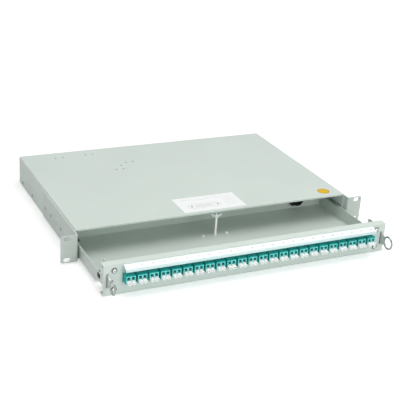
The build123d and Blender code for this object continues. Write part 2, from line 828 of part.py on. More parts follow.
with BuildPart() as gland_locknut:
    with BuildSketch(front_plane(tray_rear - tray_sheet)):
        with Locations(gland_centre):
            RegularPolygon(locknut_hex / 2, 6, major_radius=False)
            Circle(gland_thread_radius + gland_fit, mode=Mode.SUBTRACT)
    extrude(amount=locknut_thickness)
gland_locknut.part.label = "gland_locknut"
export_step(gland_locknut.part, "parts/gland_locknut.step")

with BuildPart() as gland_seal:
    with BuildSketch(front_plane(neck_rear)):
        with Locations(gland_centre):
            Circle(seal_radius)
            Circle(seal_bore_radius, mode=Mode.SUBTRACT)
    extrude(amount=-seal_length)
gland_seal.part.label = "gland_seal"
export_step(gland_seal.part, "parts/gland_seal.step")

with BuildPart() as gland_dome_nut:
    with BuildSketch(front_plane(dome_nut_front)):
        with Locations(gland_centre):
            RegularPolygon(gland_hex / 2, 6, major_radius=False)
    extrude(amount=-dome_nut_grip)
    with BuildSketch(front_plane(dome_nut_front + dome_nut_grip)):
        with Locations(gland_centre):
            Circle(gland_hex / 2)
    extrude(amount=-(dome_nut_length - dome_nut_grip))
    fillet(gland_dome_nut.edges().filter_by(GeomType.CIRCLE).group_by(Axis.Y)[-1], dome_nut_crown)
    with BuildSketch(front_plane(dome_nut_front)):
        with Locations(gland_centre):
            Circle(gland_neck_radius + running_gap)
    extrude(amount=-(dome_nut_length - dome_nut_end), mode=Mode.SUBTRACT)
    with BuildSketch(front_plane(dome_nut_front)):
        with Locations(gland_centre):
            Circle(gland_bore_radius)
    extrude(amount=-(dome_nut_length + overrun), mode=Mode.SUBTRACT)
gland_dome_nut.part.label = "gland_dome_nut"
export_step(gland_dome_nut.part, "parts/gland_dome_nut.step")

# Side catches: sprung plastic pads that bear on the runners through the tray's walls
catch_head_face = tray_half - tray_sheet - running_gap
for side, sign in SIDES.items():
    with BuildPart() as side_catch:
        with BuildSketch(side_plane(sign * (catch_head_face - catch_head_sheet))):
            with Locations((catch_y, catch_z)):
                Rectangle(catch_length + 2 * catch_head_reach, catch_height + 2 * catch_head_rise)
        extrude(amount=sign * catch_head_sheet)
        with BuildSketch(side_plane(sign * catch_head_face)):
            with Locations((catch_y, catch_z)):
                Rectangle(catch_length, catch_height)
        extrude(amount=sign * (web_inner - running_gap - catch_head_face))
        nub_face = side_catch.faces().filter_by(Axis.X).sort_by(Axis.X)[::sign][-1]
        chamfer(nub_face.edges(), catch_bevel)
    side_catch.part.label = f"side_catch_{side}"
    export_step(side_catch.part, f"parts/side_catch_{side}.step")
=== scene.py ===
from math import cos, pi, radians, sin

import bmesh
import bpy
from mathutils import Matrix, Vector


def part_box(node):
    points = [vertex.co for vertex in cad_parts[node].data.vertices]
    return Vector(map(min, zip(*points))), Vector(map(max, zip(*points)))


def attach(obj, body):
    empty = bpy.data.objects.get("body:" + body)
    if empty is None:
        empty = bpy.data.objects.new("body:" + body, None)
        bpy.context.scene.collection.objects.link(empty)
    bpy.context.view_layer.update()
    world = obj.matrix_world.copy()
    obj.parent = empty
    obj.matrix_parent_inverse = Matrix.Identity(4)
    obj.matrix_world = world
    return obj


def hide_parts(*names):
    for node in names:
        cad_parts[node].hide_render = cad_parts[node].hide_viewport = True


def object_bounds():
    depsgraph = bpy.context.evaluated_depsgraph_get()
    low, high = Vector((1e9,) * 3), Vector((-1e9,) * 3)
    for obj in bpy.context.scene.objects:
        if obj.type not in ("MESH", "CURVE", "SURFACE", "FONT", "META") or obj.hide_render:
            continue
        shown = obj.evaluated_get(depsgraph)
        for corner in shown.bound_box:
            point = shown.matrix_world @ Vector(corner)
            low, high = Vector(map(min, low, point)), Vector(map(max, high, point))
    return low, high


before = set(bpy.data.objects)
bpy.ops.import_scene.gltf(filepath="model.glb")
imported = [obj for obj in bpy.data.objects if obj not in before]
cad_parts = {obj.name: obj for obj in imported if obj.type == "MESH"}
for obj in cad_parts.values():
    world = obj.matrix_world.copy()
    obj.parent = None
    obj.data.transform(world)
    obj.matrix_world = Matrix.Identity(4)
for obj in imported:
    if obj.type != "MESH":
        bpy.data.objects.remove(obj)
cad_box = [[float(c) for c in corner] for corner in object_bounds()]

# The visual model of a fibre optic patch panel, with its drawer pulled out.
# Everything is in metres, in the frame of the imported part: X right, Y back, Z up.
MM = 0.001
RIGHT = Vector((1, 0, 0))
FORWARD = Vector((0, -1, 0))
UP = Vector((0, 0, 1))
SIDES = ("left", "right")
BANKS = range(1, 7)
ADAPTERS = [f"adapter_{index:02d}" for index in range(1, 25)]


# Colours and shader nodes


WHITE = (1.0, 1.0, 1.0, 1.0)


def srgb(red, green, blue):
    """A colour given as display values from 0 to 255, as the linear values that shaders take."""
    def linear(value):
        share = value / 255
        return share / 12.92 if share <= 0.04045 else ((share + 0.055) / 1.055) ** 2.4
    return (linear(red), linear(green), linear(blue), 1.0)


def tinted(colour, factor):
    """A colour made lighter or darker by a factor."""
    return (colour[0] * factor, colour[1] * factor, colour[2] * factor, 1.0)


def set_inputs(node, values):
    """Sets a node's inputs by their names."""
    for name, value in values.items():
        node.inputs[name].default_value = value


def combined(tree, operation, first, second):
    """The result of a math node that takes two outputs."""
    node = tree.nodes.new("ShaderNodeMath")
    node.operation = operation
    tree.links.new(first, node.inputs[0])
    tree.links.new(second, node.inputs[1])
    return node.outputs["Value"]


class Shader:
    """A node material under construction, with its Principled shader and object coordinates."""

    def __init__(self, name, roughness=0.5, metallic=0.0, shine=0.5):
        self.material = bpy.data.materials.new(name)
        self.material.use_nodes = True
        self.tree = self.material.node_tree
        self.bsdf = self.tree.nodes["Principled BSDF"]
        values = {"Roughness": roughness, "Metallic": metallic, "Specular IOR Level": shine}
        set_inputs(self.bsdf, values)
        self.coords = self.node("ShaderNodeTexCoord").outputs["Object"]

    def node(self, kind):
        return self.tree.nodes.new(kind)

    def link(self, source, target):
        self.tree.links.new(source, target)

    def noise(self, scale, detail=2.0, stretch=None):
        """A noise texture over the object; stretch scales its three axes."""
        texture = self.node("ShaderNodeTexNoise")
        set_inputs(texture, {"Scale": scale, "Detail": detail})
        source = self.coords
        if stretch:
            mapping = self.node("ShaderNodeMapping")
            set_inputs(mapping, {"Scale": stretch})
            self.link(self.coords, mapping.inputs["Vector"])
            source = mapping.outputs["Vector"]
        self.link(source, texture.inputs["Vector"])
        return texture.outputs["Fac"]

    def cells(self, scale):
        """Voronoi cells over the object: their colour and their distance."""
        texture = self.node("ShaderNodeTexVoronoi")
        set_inputs(texture, {"Scale": scale})
        self.link(self.coords, texture.inputs["Vector"])
        return texture.outputs["Color"], texture.outputs["Distance"]

    def between(self, value, low, high, start=0.3, end=0.7):
        """A ramp that turns a texture value into one between two colours."""
        ramp = self.node("ShaderNodeValToRGB")
        first, last = ramp.color_ramp.elements
        first.position = start
        first.color = low
        last.position = end
        last.color = high
        self.link(value, ramp.inputs["Fac"])
        return ramp.outputs["Color"]

    def ranged(self, value, low, high):
        """A texture value mapped onto a range of numbers."""
        mapped = self.node("ShaderNodeMapRange")
        set_inputs(mapped, {"To Min": low, "To Max": high})
        self.link(value, mapped.inputs["Value"])
        return mapped.outputs["Result"]

    def finish(self, colour, roughness, relief, strength, depth):
        """Links a colour, a roughness and fine relief of a depth, and gives the material."""
        bump = self.node("ShaderNodeBump")
        set_inputs(bump, {"Strength": strength, "Distance": depth})
        self.link(relief, bump.inputs["Height"])
        self.link(colour, self.bsdf.inputs["Base Color"])
        self.link(roughness, self.bsdf.inputs["Roughness"])
        self.link(bump.outputs["Normal"], self.bsdf.inputs["Normal"])
        return self.material


# Materials


SOFT_RADIUS = (1.5 * MM, 1.5 * MM, 1.3 * MM)


def powder_coat(name, colour):
    """Pale powder coat: fine orange peel, with a faint mottling of colour and gloss."""
    shader = Shader(name)
    mottle = shader.noise(scale=9.0, detail=3.0)
    peel = shader.noise(scale=1500.0)
    return shader.finish(
        colour=shader.between(mottle, tinted(colour, 0.975), tinted(colour, 1.02)),
        roughness=shader.ranged(peel, low=0.40, high=0.54),
        relief=peel,
        strength=0.35,
        depth=0.05 * MM,
    )


def zinc_plate(name, colour, roughness):
    """Zinc or nickel plate with fine turning lines and uneven gloss."""
    shader = Shader(name, metallic=1.0)
    lines = shader.noise(scale=900.0, detail=1.0, stretch=(1.0, 1.0, 6.0))
    cloud = shader.noise(scale=260.0, detail=3.0)
    return shader.finish(
        colour=shader.between(cloud, tinted(colour, 0.9), colour),
        roughness=shader.ranged(cloud, low=roughness * 0.7, high=roughness * 1.4),
        relief=lines,
        strength=0.15,
        depth=0.02 * MM,
    )


def galvanised(name, dark, light):
    """Zinc-coated sheet with its spangle of flat crystals."""
    shader = Shader(name, metallic=1.0)
    crystals, edges = shader.cells(scale=260.0)
    return shader.finish(
        colour=shader.between(crystals, dark, light, start=0.2, end=0.8),
        roughness=shader.ranged(edges, low=0.28, high=0.46),
        relief=edges,
        strength=0.08,
        depth=0.02 * MM,
    )


def moulded(name, colour, roughness, variation, grain=700.0, relief=0.2, soft=0.0, shine=0.5):
    """Moulded plastic or rubber: a faint flow pattern, a fine grain and, if soft, some depth."""
    shader = Shader(name, shine=shine)
    flow = shader.noise(scale=55.0)
    fine = shader.noise(scale=grain)
    if soft:
        set_inputs(shader.bsdf, {"Subsurface Weight": soft, "Subsurface Radius": SOFT_RADIUS})
    return shader.finish(
        colour=shader.between(flow, tinted(colour, 1.0 - variation), tinted(colour, 1.0 + variation)),
        roughness=shader.ranged(fine, low=roughness * 0.85, high=roughness * 1.15),
        relief=fine,
        strength=relief,
        depth=0.03 * MM,
    )


def printed_film(name, colour, shine=0.5):
    """Satin film, paper or ink: nearly even, with faint fibres."""
    shader = Shader(name, shine=shine)
    fibres = shader.noise(scale=1800.0, detail=3.0, stretch=(1.0, 0.3, 1.0))
    cloud = shader.noise(scale=30.0)
    return shader.finish(
        colour=shader.between(cloud, tinted(colour, 0.985), colour),
        roughness=shader.ranged(fibres, low=0.38, high=0.5),
        relief=fibres,
        strength=0.08,
        depth=0.01 * MM,
    )


GREY = srgb(208, 219, 212)
# One grey powder coat for all the sheets, in copies made lighter or darker for each part: painted
# light and shade, lighter on the front panel and darker on the ear brackets.
COAT_LIGHT_AND_SHADE_TINTS = {"cover": 1.0, "base": 0.97, "ear": 0.9, "tray": 0.97, "panel": 1.07}
COATS = {
    part: powder_coat(f"powder_coat_{part}", tinted(GREY, tint))
    for part, tint in COAT_LIGHT_AND_SHADE_TINTS.items()
}

ZINC = zinc_plate("bright_zinc", srgb(232, 235, 232), roughness=0.24)
# Darker zinc for the seats and recesses of the panel screws: painted shade round and inside their
# heads.
ZINC_PAINTED_SHADE = zinc_plate("zinc_painted_shade", srgb(108, 114, 112), roughness=0.32)
DULL_ZINC = zinc_plate("dull_zinc", srgb(158, 166, 162), roughness=0.42)
SATIN_ZINC = zinc_plate("satin_zinc", srgb(252, 253, 252), roughness=0.55)
TAB_ZINC = zinc_plate("tab_zinc", srgb(206, 211, 208), roughness=0.45)
RING_STEEL = zinc_plate("ring_steel", srgb(160, 166, 164), roughness=0.2)
RUNNER_STEEL = galvanised("galvanised_sheet", srgb(168, 173, 172), srgb(198, 202, 200))

AQUA = moulded("aqua_plastic", srgb(28, 174, 168), 0.38, variation=0.04, shine=0.25)
# A lighter copy of the aqua plastic for the port rims: a painted highlight on their edges.
AQUA_PAINTED_HIGHLIGHT = moulded("aqua_painted_highlight", srgb(142, 236, 232), 0.38, variation=0.03, shine=0.3)
CAP_WHITE = moulded("cap_plastic", srgb(252, 255, 254), 0.36, variation=0.01, relief=0.08, soft=0.2)
HOLDER = moulded("label_holder", srgb(214, 240, 239), 0.3, variation=0.02, relief=0.06, soft=0.3)
NYLON = moulded("black_nylon", srgb(15, 16, 17), 0.45, variation=0.1, shine=0.3)
RUBBER = moulded("black_rubber", srgb(30, 30, 30), 0.7, variation=0.12, grain=1200.0)

PAPER = printed_film("label_paper", srgb(246, 249, 248))
INK = printed_film("grey_ink", srgb(112, 116, 124))
PALE_INK = printed_film("pale_ink", srgb(186, 190, 197))
AMBER = printed_film("amber_film", srgb(226, 180, 6), shine=0.2)
AMBER_INK = printed_film("amber_ink", srgb(104, 84, 22), shine=0.2)


# Mesh helpers


WELD = 0.002 * MM
FLAT_ANGLE = radians(1.0)
EDGE_ANGLE = radians(30.0)
SMOOTH_ANGLE = radians(42.0)
ARC_STEPS = 10
DIGIT_RESOLUTION = 3


def to_mesh(bm, name):
    """A mesh made from a bmesh, which is then freed."""
    mesh = bpy.data.meshes.new(name)
    bm.to_mesh(mesh)
    bm.free()
    return mesh


def add_object(name, data):
    """A new object in the scene's collection."""
    made = bpy.data.objects.new(name, data)
    bpy.context.scene.collection.objects.link(made)
    return made


def finish_mesh(bm, name, material, body, replaced=()):
    """Turns a bmesh into a piece that rides a body, with smooth faces and sharp creases."""
    for face in bm.faces:
        face.smooth = True
    for edge in bm.edges:
        if len(edge.link_faces) == 2 and edge.calc_face_angle(0.0) > SMOOTH_ANGLE:
            edge.smooth = False
    piece = add_object(name, to_mesh(bm, name))
    piece.data.materials.append(material)
    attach(piece, body)
    if replaced:
        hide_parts(*replaced)
    return piece


def face_outward(bm):
    """Turns all faces outward."""
    bmesh.ops.recalc_face_normals(bm, faces=bm.faces)


def welded(node):
    """A bmesh copy of a CAD node, with its faces joined at their corners."""
    bm = bmesh.new()
    bm.from_mesh(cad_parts[node].data)
    bmesh.ops.remove_doubles(bm, verts=bm.verts, dist=WELD)
    return bm


def softened(node, width, material, body, segments=2):
    """A copy of a CAD node with rounded edges and evenly shaded faces, which stands for the node."""
    bm = welded(node)
    bmesh.ops.dissolve_limit(bm, angle_limit=FLAT_ANGLE, verts=bm.verts, edges=bm.edges)
    joined = [edge for edge in bm.edges if len(edge.link_faces) == 2]
    sharp = [edge for edge in joined if edge.calc_face_angle(0.0) > EDGE_ANGLE]
    bmesh.ops.bevel(
        bm, geom=sharp, offset=width, offset_type="OFFSET", segments=segments,
        profile=0.5, affect="EDGES", clamp_overlap=True,
    )
    skin = finish_mesh(bm, f"{node}_skin", material, body, (node,))
    shading = skin.modifiers.new("even_faces", "WEIGHTED_NORMAL")
    shading.keep_sharp = True
    return skin


def middle_of(node):
    """The middle of a CAD node's box."""
    low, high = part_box(node)
    return (low + high) / 2


def islands(node):
    """The boxes (low corner, high corner) of a node's separate solids, from left to right."""
    bm = welded(node)
    seen = set()
    boxes = []
    for vert in bm.verts:
        if vert in seen:
            continue
        seen.add(vert)
        group = [vert]
        for member in group:
            for edge in member.link_edges:
                other = edge.other_vert(member)
                if other not in seen:
                    seen.add(other)
                    group.append(other)
        low = Vector([min(v.co[i] for v in group) for i in range(3)])
        high = Vector([max(v.co[i] for v in group) for i in range(3)])
        boxes.append((low, high))
    bm.free()
    return sorted(boxes, key=lambda box: (box[0].x, box[0].z))


def axis_place(origin, axis):
    """The matrix that takes a mesh standing on +Z at the origin to a point and an axis."""
    turn = UP.rotation_difference(axis)
    return Matrix.Translation(origin) @ turn.to_matrix().to_4x4()


def add_copy(bm, mesh, place):
    """Adds a mesh to a bmesh, moved by a matrix."""
    before = len(bm.verts)
    bm.from_mesh(mesh)
    bm.verts.ensure_lookup_table()
    bmesh.ops.transform(bm, matrix=place, verts=bm.verts[before:])


def add_box(bm, low, high):
    """Adds a box between two corners."""
    for vert in bmesh.ops.create_cube(bm, size=1.0)["verts"]:
        for i in range(3):
            vert.co[i] = low[i] + (high[i] - low[i]) * (vert.co[i] + 0.5)


def circle(centre, radius, steps):
    """Points round a circle in the XY plane."""
    angles = [2 * pi * step / steps for step in range(steps)]
    return [(centre[0] + radius * cos(angle), centre[1] + radius * sin(angle)) for angle in angles]


def bridge(bm, rings, segments):
    """Joins rings of points, some of them single points, with rows of faces."""
    for first, second in zip(rings, rings[1:]):
        for step in range(segments):
            after = (step + 1) % segments
            corners = [
                first[step % len(first)],
                first[after % len(first)],
                second[after % len(second)],
                second[step % len(second)],
            ]
            unique = list(dict.fromkeys(corners))
            if len(unique) > 2:
                bm.faces.new(unique)


def add_lathe(bm, profile, origin, axis, segments):
    """Adds a turned solid: profile points are (radius, distance along the axis)."""
    place = axis_place(origin, axis)
    rings = []
    for radius, along in profile:
        points = circle((0, 0), radius, segments) if radius > 0 else [(0, 0)]
        rings.append([bm.verts.new(place @ Vector((*point, along))) for point in points])
    bridge(bm, rings, segments)


def dome(radius, bottom, height, steps):
    """Profile points of a dome, from just above its rim up to its centre."""
    points = []
    for step in range(1, steps + 1):
        angle = pi / 2 * step / steps
        reach = radius * cos(angle) if step < steps else 0.0
        points.append((reach, bottom + height * sin(angle)))
    return points


def add_thread(bm, place, radius, depth, pitch, length, segments, rows):
    """A helical thread, moved by a matrix, as an open sleeve; gives its first and last ring."""
    levels = int(length / pitch * rows)
    rings = []
    for level in range(levels + 1):
        along = length * level / levels
        ring = []
        for step in range(segments):
            phase = (along / pitch - step / segments) % 1.0
            reach = radius - depth * abs(2 * phase - 1)
            angle = 2 * pi * step / segments
            ring.append(bm.verts.new(place @ Vector((reach * cos(angle), reach * sin(angle), along))))
        rings.append(ring)
    bridge(bm, rings, segments)
    return rings[0], rings[-1]


def add_ribbon(bm, points, width, height, closed=False):
    """A flat printed line of even width through points at one height."""
    count = len(points)
    sides = []
    for i, point in enumerate(points):
        ahead = Vector(points[(i + 1) % count] if closed or i + 1 < count else point)
        behind = Vector(points[i - 1] if closed or i > 0 else point)
        along = (ahead - behind).normalized()
        across = Vector((-along.y, along.x)) * width / 2
        edges = [Vector(point) + across, Vector(point) - across]
        sides.append([bm.verts.new((*edge, height)) for edge in edges])
    pairs = list(zip(sides, sides[1:]))
    if closed:
        pairs.append((sides[-1], sides[0]))
    for first, second in pairs:
        bm.faces.new((first[0], first[1], second[1], second[0]))


def stadium(centre, length, width):
    """Points round a loop with straight long sides and round ends."""
    points = []
    for end, start in ((1, -pi / 2), (-1, pi / 2)):
        for step in range(ARC_STEPS + 1):
            angle = start + pi * step / ARC_STEPS
            x = centre[0] + end * (length - width) / 2 + width / 2 * cos(angle)
            points.append((x, centre[1] + width / 2 * sin(angle)))
    return points


def digits_mesh(label, size):
    """A flat mesh of plain digits, centred at the origin in the XY plane."""
    curve = bpy.data.curves.new("digits", "FONT")
    curve.body = label
    curve.size = size
    curve.resolution_u = DIGIT_RESOLUTION
    curve.align_x = "CENTER"
    curve.align_y = "CENTER"
    holder = add_object("digits", curve)
    mesh = bpy.data.meshes.new_from_object(holder)
    bpy.data.objects.remove(holder)
    bpy.data.curves.remove(curve)
    return mesh


# Camera at the photograph's viewing angle


CAMERA_PLACE = Vector((-593.97, -1118.36, 590.24)) * MM
CAMERA_AZIMUTH = radians(-26.479)
CAMERA_ELEVATION = radians(23.424)
CAMERA_ROLL = radians(3.884)
FOCAL_PIXELS = 960.2
PICTURE_PIXELS = 400
SENSOR_WIDTH = 36.0
NEAR_CLIP = 0.01


def make_camera():
    """The camera, turned from its azimuth, elevation and roll."""
    back = Vector((
        sin(CAMERA_AZIMUTH) * cos(CAMERA_ELEVATION),
        -cos(CAMERA_AZIMUTH) * cos(CAMERA_ELEVATION),
        sin(CAMERA_ELEVATION),
    ))
    right = (-back).cross(UP).normalized()
    up = right.cross(-back)
    rolled_right = right * cos(CAMERA_ROLL) + up * sin(CAMERA_ROLL)
    rolled_up = up * cos(CAMERA_ROLL) - right * sin(CAMERA_ROLL)
    turn = Matrix((rolled_right, rolled_up, back)).transposed()
    data = bpy.data.cameras.new("photo_camera")
    data.sensor_fit = "HORIZONTAL"
    data.sensor_width = SENSOR_WIDTH
    data.lens = FOCAL_PIXELS / PICTURE_PIXELS * SENSOR_WIDTH
    data.clip_start = NEAR_CLIP
    camera = add_object("photo_camera", data)
    camera.matrix_world = Matrix.Translation(CAMERA_PLACE) @ turn.to_4x4()
    bpy.context.scene.camera = camera


# Floor, world and lamps


FLOOR_SIZE = 8.0
FLOOR_CELLS = 8
FLOOR_GAP = 0.1 * MM
FLOOR_TONE = 0.8
FLOOR_GLOW = 0.42
FLOOR_FADE = (0.45, 1.6)
ROOM_DARK = 0.35
ROOM_FADE = (-0.9, 0.1)
WORLD_FILL = 0.33
LAMPS = {
    "top_box": {"place": (0.15, 0.0, 1.55), "target": (0, 0.05, 0), "size": 1.4, "power": 15.9},
    "front_box": {"place": (0.25, -1.75, 0.6), "target": (0, -0.05, 0), "size": 0.8, "power": 10.0},
    "left_box": {"place": (-1.1, -0.9, 0.5), "target": (0, -0.05, 0), "size": 0.8, "power": 2.6},
}


def seen_rays(tree):
    """One where a camera, glossy or transmission ray looks, nought elsewhere."""
    path = tree.nodes.new("ShaderNodeLightPath")
    result = path.outputs["Is Camera Ray"]
    for name in ("Is Glossy Ray", "Is Transmission Ray"):
        result = combined(tree, "MAXIMUM", result, path.outputs[name])
    return result


def floor_material():
    """A pale floor whose own glow, for rays that look at it, grows to white with the distance."""
    shader = Shader("pale_floor", roughness=0.9)
    set_inputs(shader.bsdf, {"Base Color": (FLOOR_TONE, FLOOR_TONE, FLOOR_TONE, 1.0)})
    distance = shader.node("ShaderNodeVectorMath")
    distance.operation = "LENGTH"
    shader.link(shader.coords, distance.inputs[0])
    near, far = FLOOR_FADE
    fade = shader.node("ShaderNodeMapRange")
    set_inputs(fade, {"From Min": near, "From Max": far, "To Min": FLOOR_GLOW, "To Max": 1.0})
    shader.link(distance.outputs["Value"], fade.inputs["Value"])
    shown = combined(shader.tree, "MULTIPLY", seen_rays(shader.tree), fade.outputs["Result"])
    glow = shader.node("ShaderNodeEmission")
    shader.link(shown, glow.inputs["Strength"])
    total = shader.node("ShaderNodeAddShader")
    shader.link(shader.bsdf.outputs["BSDF"], total.inputs[0])
    shader.link(glow.outputs["Emission"], total.inputs[1])
    shader.link(total.outputs["Shader"], shader.tree.nodes["Material Output"].inputs["Surface"])
    return shader.material


def make_floor():
    """The floor, which takes the object's shadow."""
    bm = bmesh.new()
    bmesh.ops.create_grid(bm, x_segments=FLOOR_CELLS, y_segments=FLOOR_CELLS, size=FLOOR_SIZE / 2)
    bmesh.ops.translate(bm, verts=bm.verts, vec=(0, 0, cad_box[0][2] - FLOOR_GAP))
    floor = add_object("floor", to_mesh(bm, "floor"))
    floor.data.materials.append(floor_material())


def room_tone(tree):
    """White to the camera; to reflections white behind and darker in front of the object."""
    direction = tree.nodes.new("ShaderNodeTexCoord").outputs["Generated"]
    parts = tree.nodes.new("ShaderNodeSeparateXYZ")
    tree.links.new(direction, parts.inputs["Vector"])
    dark_end, white_end = ROOM_FADE
    tone = tree.nodes.new("ShaderNodeMapRange")
    set_inputs(tone, {"From Min": dark_end, "From Max": white_end, "To Min": ROOM_DARK, "To Max": 1.0})
    tree.links.new(parts.outputs["Y"], tone.inputs["Value"])
    path = tree.nodes.new("ShaderNodeLightPath")
    return combined(tree, "MAXIMUM", path.outputs["Is Camera Ray"], tone.outputs["Result"])


def make_world():
    """Even soft fill, which shows as white where it is looked at."""
    world = bpy.data.worlds.new("studio")
    bpy.context.scene.world = world
    world.use_nodes = True
    tree = world.node_tree
    fill = tree.nodes["Background"]
    set_inputs(fill, {"Color": WHITE, "Strength": WORLD_FILL})
    white = tree.nodes.new("ShaderNodeBackground")
    set_inputs(white, {"Color": WHITE})
    tree.links.new(room_tone(tree), white.inputs["Strength"])
    mix = tree.nodes.new("ShaderNodeMixShader")
    tree.links.new(seen_rays(tree), mix.inputs["Fac"])
    tree.links.new(fill.outputs["Background"], mix.inputs[1])
    tree.links.new(white.outputs["Background"], mix.inputs[2])
    tree.links.new(mix.outputs["Shader"], tree.nodes["World Output"].inputs["Surface"])


def make_lamp(name, place, target, size, power):
    """A square soft box that looks at a point."""
    data = bpy.data.lights.new(name, "AREA")
    data.shape = "SQUARE"
    data.size = size
    data.energy = power
    lamp = add_object(name, data)
    lamp.location = place
    lamp.rotation_euler = (Vector(target) - Vector(place)).to_track_quat("-Z", "Y").to_euler()


# Rounded skins of the sheets, rubber and plastics


SHEET_EDGE = 0.22 * MM
RUNNER_EDGE = 0.12 * MM
PLASTIC_EDGE = 0.3 * MM
WING_EDGE = 0.5 * MM
WING_EDGE_SEGMENTS = 3


def sheet_skins():
    """The painted sheets, the runners, the side catches and the edge guards."""
    softened("housing_cover", SHEET_EDGE, COATS["cover"], "housing")
    softened("housing_base", SHEET_EDGE, COATS["base"], "housing")
    for side in SIDES:
        softened(f"ear_bracket_{side}", SHEET_EDGE, COATS["ear"], "housing")
        softened(f"runner_{side}", RUNNER_EDGE, RUNNER_STEEL, "housing")
        softened(f"corner_post_{side}", SHEET_EDGE, COATS["tray"], "drawer")
        softened(f"side_catch_{side}", SHEET_EDGE, NYLON, f"catch_{side}")
    softened("rear_grommets", SHEET_EDGE, RUBBER, "housing")
    softened("drawer_tray", SHEET_EDGE, COATS["tray"], "drawer")
    softened("front_panel", SHEET_EDGE, COATS["panel"], "drawer")
    softened("label_carrier", SHEET_EDGE, HOLDER, "drawer")


def adapter_skins():
    """The duplex adapters and the caps on their rear ends."""
    for node in ADAPTERS:
        softened(node, PLASTIC_EDGE, AQUA, "drawer")
    softened("rear_caps", PLASTIC_EDGE, CAP_WHITE, "rear_caps")


def nut_skins():
    """The wing nut and the pieces of the cable gland."""
    softened("wing_nut", WING_EDGE, SATIN_ZINC, "wing_nut", WING_EDGE_SEGMENTS)
    softened("gland_body", PLASTIC_EDGE, NYLON, "drawer")
    softened("gland_locknut", PLASTIC_EDGE, NYLON, "drawer")
    softened("gland_dome_nut", PLASTIC_EDGE, NYLON, "dome_nut")


# Dust caps


CAP_LENGTH = 4.9 * MM
CAP_TIP_SHARE = 0.9
CAP_BORE_SHARE = 0.46
CAP_BORE_END_SHARE = 0.9
CAP_BORE_DEPTH = 2.6 * MM
CAP_ROUND = 0.35 * MM
CAP_ROUND_SHARES = (0.4, 0.3)
CAP_COLLAR = 0.9 * MM
CAP_COLLAR_SLOPE_SHARE = 1.2
CAP_NECK_SHARE = 0.96
CAP_SEGMENTS = 28
STEM_SHARE = 0.82


def cap_profile(radius):
    """The outline of one hollow, tapered cap from its collar to the bottom of its bore."""
    tip = radius * CAP_TIP_SHARE
    bore = radius * CAP_BORE_SHARE
    round_in, round_down = CAP_ROUND_SHARES
    return [
        (0.0, 0.0),
        (radius, 0.0),
        (radius, CAP_COLLAR),
        (radius * CAP_NECK_SHARE, CAP_COLLAR * CAP_COLLAR_SLOPE_SHARE),
        (tip, CAP_LENGTH - CAP_ROUND),
        (tip - CAP_ROUND * round_in, CAP_LENGTH - CAP_ROUND * round_down),
        (tip - CAP_ROUND, CAP_LENGTH),
        (bore, CAP_LENGTH),
        (bore * CAP_BORE_END_SHARE, CAP_LENGTH - CAP_BORE_DEPTH),
        (0.0, CAP_LENGTH - CAP_BORE_DEPTH),
    ]


def cap_bank(node, body):
    """One bank of hollow, tapered dust caps with their square stems."""
    bm = bmesh.new()
    for low, high in islands(node):
        centre = (low + high) / 2
        radius = (high.x - low.x) / 2
        back = Vector((centre.x, low.y + CAP_LENGTH, centre.z))
        add_lathe(bm, cap_profile(radius), back, FORWARD, CAP_SEGMENTS)
        stem = radius * STEM_SHARE
        stem_low = (centre.x - stem, back.y, centre.z - stem)
        add_box(bm, stem_low, (centre.x + stem, high.y, centre.z + stem))
    face_outward(bm)
    finish_mesh(bm, f"{node}_detailed", CAP_WHITE, body, (node,))


# Cross-recessed screws


ACROSS = 0
DEEP = 1
PANEL_SCREW = {"head_radius": 3.9 * MM, "head_height": 2.4 * MM, "shank_radius": 2.0 * MM}
SHEET_SCREW = {"head_radius": 2.9 * MM, "head_height": 1.0 * MM, "shank_radius": 1.5 * MM}
SCREW_SEGMENTS = 36
CROWN_HEIGHT_SHARE = 0.55
CROWN_SHARE = 0.72
CROWN_FLAT_SHARE = 0.5
CROWN_STEPS = 5
SEAT_EDGE_SHARE = 0.6
SEAT_TOP_SHARE = 0.95
CROSS_ARM_SHARE = 0.4
CROSS_WIDTH_SHARE = 0.2
CROSS_DEPTH_SHARE = 0.5
CROSS_TAPER_SHARE = 0.45
CROSS_OVERRUN_SHARE = 1.2
# Radians for each metre of height, so that the crosses don't all stand alike.
CROSS_TURN = 400.0
RECESS_SLACK = 1.01
WALL_SLOPE = 0.1


def screw_blank(head_radius, head_height, shank_radius, shank_length, rim, crown):
    """A pan-head screw that stands on its shank along +Z, before its recess is cut."""
    profile = [
        (0.0, -shank_length),
        (shank_radius, -shank_length),
        (shank_radius, 0.0),
        (head_radius, 0.0),
        (head_radius, rim * SEAT_EDGE_SHARE),
        (head_radius * SEAT_TOP_SHARE, rim),
        (crown, rim),
    ]
    for step in range(1, CROWN_STEPS + 1):
        angle = pi / 2 * step / CROWN_STEPS
        radius = crown * (CROWN_FLAT_SHARE + (1 - CROWN_FLAT_SHARE) * cos(angle))
        profile.append((radius, rim + (head_height - rim) * sin(angle)))
    profile.append((0.0, head_height))
    bm = bmesh.new()
    add_lathe(bm, profile, (0, 0, 0), UP, SCREW_SEGMENTS)
    face_outward(bm)
    return add_object("screw_blank", to_mesh(bm, "screw_blank"))


def cross_arm(head_radius, head_height, turn):
    """One arm of the cross recess, narrower at its bottom."""
    arm = bmesh.new()
    bmesh.ops.create_cube(arm, size=1.0)
    for vert in arm.verts:
        at_top = vert.co.z > 0
        vert.co.x *= 2 * CROSS_ARM_SHARE * head_radius * (1.0 if at_top else CROSS_TAPER_SHARE)
        vert.co.y *= CROSS_WIDTH_SHARE * head_radius
        vert.co.z = head_height * (CROSS_OVERRUN_SHARE if at_top else 1 - CROSS_DEPTH_SHARE)
    bmesh.ops.rotate(arm, verts=arm.verts, cent=(0, 0, 0), matrix=Matrix.Rotation(turn, 3, "Z"))
    return add_object("cross_arm", to_mesh(arm, "cross_arm"))


